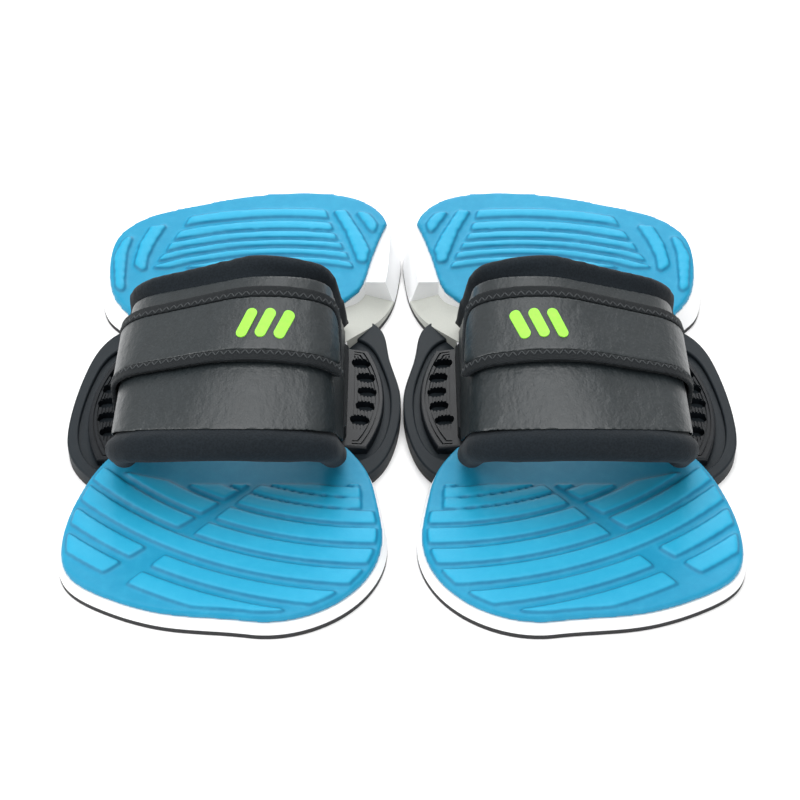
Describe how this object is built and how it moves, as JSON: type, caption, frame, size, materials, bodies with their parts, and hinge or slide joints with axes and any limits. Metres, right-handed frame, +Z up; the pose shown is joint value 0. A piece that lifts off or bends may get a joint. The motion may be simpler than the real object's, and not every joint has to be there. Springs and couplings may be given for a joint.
{
  "type": "kiteboard foot binding pair",
  "caption": "Pair of kiteboard foot bindings: contoured foam foot pads on side-winged plastic bases, padded arched straps and fold-over hook-and-loop belts.",
  "frame": {"origin": "on the ground plane, midway between the two pads", "axes": "+Z up from the board's deck, toes towards -Y, heels towards +Y, the wearer's left foot at +X"},
  "size_m": [0.3216, 0.2952, 0.0883],
  "materials": {
    "outsole_rubber": "matte",
    "chassis_nylon": "matte",
    "rack_gloss": "gloss",
    "grey_foam": "matte",
    "white_foam": "matte",
    "blue_foam": "matte",
    "webbing": "matte",
    "steel": "brushed",
    "neoprene": "matte",
    "stiffener_plastic": "matte",
    "synthetic_leather": "satin",
    "loop_fabric": "matte",
    "binding_tape": "matte",
    "hook_plastic": "matte",
    "badge_rubber": "satin"
  },
  "bodies": {
    "bindings": {"right_outsole": "outsole_rubber", "right_chassis": "chassis_nylon", "right_inner_rack": "rack_gloss", "right_outer_rack": "rack_gloss", "right_waist_inserts": "grey_foam", "right_midsole": "white_foam", "right_footbed": "blue_foam", "right_inner_strap_end": "webbing", "right_outer_strap_end": "webbing", "right_nut_plates": "steel", "right_anchor_screws": "steel", "right_strap_padding": "neoprene", "right_strap_stiffener": "stiffener_plastic", "right_strap_face": "synthetic_leather", "right_loop_landing": "loop_fabric", "right_belt_tab": "webbing", "left_outsole": "outsole_rubber", "left_chassis": "chassis_nylon", "left_inner_rack": "rack_gloss", "left_outer_rack": "rack_gloss", "left_waist_inserts": "grey_foam", "left_midsole": "white_foam", "left_footbed": "blue_foam", "left_inner_strap_end": "webbing", "left_outer_strap_end": "webbing", "left_nut_plates": "steel", "left_anchor_screws": "steel", "left_strap_padding": "neoprene", "left_strap_stiffener": "stiffener_plastic", "left_strap_face": "synthetic_leather", "left_loop_landing": "loop_fabric", "left_belt_tab": "webbing"},
    "right_belt": {"right_belt_panel": "synthetic_leather", "right_belt_binding": "binding_tape"},
    "right_tongue": {"right_tongue_panel": "synthetic_leather", "right_tongue_binding": "binding_tape", "right_hook_patch": "hook_plastic", "right_badge": "badge_rubber"},
    "left_belt": {"left_belt_panel": "synthetic_leather", "left_belt_binding": "binding_tape"},
    "left_tongue": {"left_tongue_panel": "synthetic_leather", "left_tongue_binding": "binding_tape", "left_hook_patch": "hook_plastic", "left_badge": "badge_rubber"}
  },
  "joints": [
    {"name": "right_tongue_peel", "type": "hinge", "parent": "right_belt", "child": "right_tongue", "pos_m": [-0.0823, -0.029, 0.07655], "axis": [0, -0.9841, -0.1775], "range_deg": [0, 120]},
    {"name": "right_belt_swing", "type": "hinge", "parent": "bindings", "child": "right_belt", "pos_m": [-0.1363, -0.002, 0.02], "axis": [0, -1, 0], "range_deg": [0, 80]},
    {"name": "left_tongue_peel", "type": "hinge", "parent": "left_belt", "child": "left_tongue", "pos_m": [0.0823, -0.029, 0.07655], "axis": [0, 0.9841, 0.1775], "range_deg": [0, 120]},
    {"name": "left_belt_swing", "type": "hinge", "parent": "bindings", "child": "left_belt", "pos_m": [0.1363, -0.002, 0.02], "axis": [0, 1, 0], "range_deg": [0, 80]}
  ],
  "couplings": [
    {"joint": "right_belt_swing", "follows": "right_tongue_peel", "ratio": 0.65},
    {"joint": "left_belt_swing", "follows": "left_tongue_peel", "ratio": 0.65}
  ]
}
